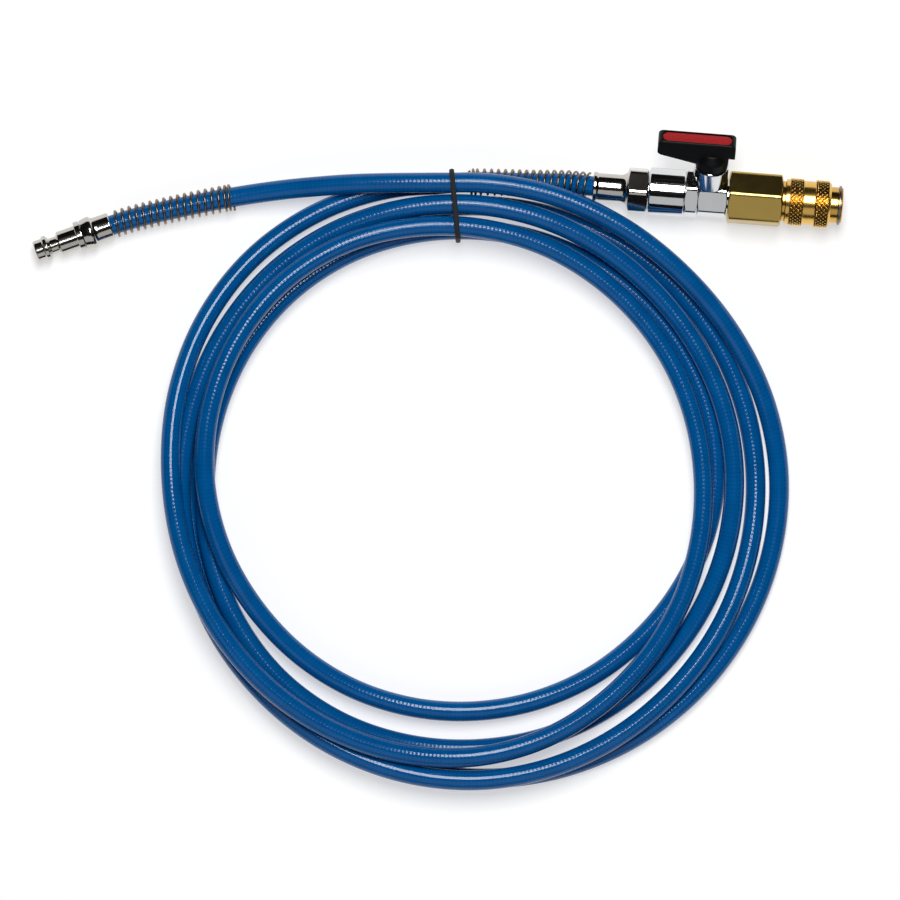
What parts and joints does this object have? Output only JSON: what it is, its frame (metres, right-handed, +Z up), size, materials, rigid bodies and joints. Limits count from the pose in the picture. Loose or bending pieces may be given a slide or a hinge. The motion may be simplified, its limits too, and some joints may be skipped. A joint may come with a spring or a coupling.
{
  "type": "coiled gas hose assembly",
  "caption": "Coiled reinforced gas hose with a quick plug and kink spring at one end, and a lever ball valve with a quick coupling at the other.",
  "frame": {"origin": "on the floor under the middle of the valve and coupling, without the hose", "axes": "+X along the valve and coupling towards the coupling's mouth, +Z up from the floor, the hose lies towards -Y"},
  "size_m": [0.4007, 0.3338, 0.0466],
  "materials": {
    "blue_hose": "glossy blue hose wall with a faint braid imprint",
    "nickel": "bright nickel plating",
    "chrome": "bright chrome plating",
    "brass": "turned and milled bare brass",
    "steel": "bright steel",
    "spring_steel": "dark bronze-toned spring wire",
    "black_plastic": "black moulded plastic",
    "red_strip": "red plastic inlay with a fine grain",
    "black_rubber": "black rubber",
    "white_seal": "white fluoropolymer seal"
  },
  "bodies": {
    "hose_and_fittings": {"valve_clamp_nut": "nickel", "hose_barb": "nickel", "barb_seal": "black_rubber", "valve_end_connector": "chrome", "valve_body": "chrome", "ball_seat_hose_side": "white_seal", "ball_seat_coupling_side": "white_seal", "coupling_hex_body": "brass", "coupling_body_seal": "black_rubber", "coupling_front_body": "brass", "plug_seal": "black_rubber", "retaining_ring": "steel", "poppet_spring": "steel", "sleeve_spring": "steel", "plug_body": "nickel", "plug_clamp_nut": "nickel", "hose_plug_lead": "blue_hose", "hose_coil": "blue_hose", "hose_valve_lead": "blue_hose", "plug_kink_spring": "spring_steel", "valve_kink_spring": "spring_steel", "bundle_band": "black_rubber"},
    "lever_and_ball": {"lever": "black_plastic", "lever_strip": "red_strip", "lever_screw": "steel", "valve_stem": "steel", "stem_washer": "white_seal", "stem_o_ring": "black_rubber", "valve_ball": "steel"},
    "sleeve": {"coupling_sleeve": "brass"},
    "shut_off_poppet": {"poppet": "brass", "poppet_seal": "black_rubber"},
    "lock_ball_one": {"lock_ball_1": "steel"},
    "lock_ball_two": {"lock_ball_2": "steel"},
    "lock_ball_three": {"lock_ball_3": "steel"},
    "lock_ball_four": {"lock_ball_4": "steel"}
  },
  "joints": [
    {"name": "lever_turn", "type": "hinge", "parent": "hose_and_fittings", "child": "lever_and_ball", "pos_m": [-0.0046, -0.00845, 0.01405], "axis": [0, 0.6691, 0.7431], "range_deg": [0, 90]},
    {"name": "sleeve_slide", "type": "slide", "parent": "hose_and_fittings", "child": "sleeve", "axis": [1, 0, 0], "range_m": [0, 0.0036]},
    {"name": "lock_ball_1_slide", "type": "slide", "parent": "hose_and_fittings", "child": "lock_ball_one", "axis": [0, -0.7071, 0.7071], "range_m": [0, 0.001]},
    {"name": "lock_ball_2_slide", "type": "slide", "parent": "hose_and_fittings", "child": "lock_ball_two", "axis": [0, -0.7071, -0.7071], "range_m": [0, 0.001]},
    {"name": "lock_ball_3_slide", "type": "slide", "parent": "hose_and_fittings", "child": "lock_ball_three", "axis": [0, 0.7071, -0.7071], "range_m": [0, 0.001]},
    {"name": "lock_ball_4_slide", "type": "slide", "parent": "hose_and_fittings", "child": "lock_ball_four", "axis": [0, 0.7071, 0.7071], "range_m": [0, 0.001]},
    {"name": "poppet_slide", "type": "slide", "parent": "hose_and_fittings", "child": "shut_off_poppet", "axis": [-1, 0, 0], "range_m": [0, 0.005], "stiffness_N_per_m": 400, "springref_m": -0.004, "deforming": ["poppet_spring"]}
  ],
  "couplings": [
    {"joint": "lock_ball_1_slide", "follows": "sleeve_slide", "ratio": 0.27778},
    {"joint": "lock_ball_2_slide", "follows": "sleeve_slide", "ratio": 0.27778},
    {"joint": "lock_ball_3_slide", "follows": "sleeve_slide", "ratio": 0.27778},
    {"joint": "lock_ball_4_slide", "follows": "sleeve_slide", "ratio": 0.27778}
  ]
}
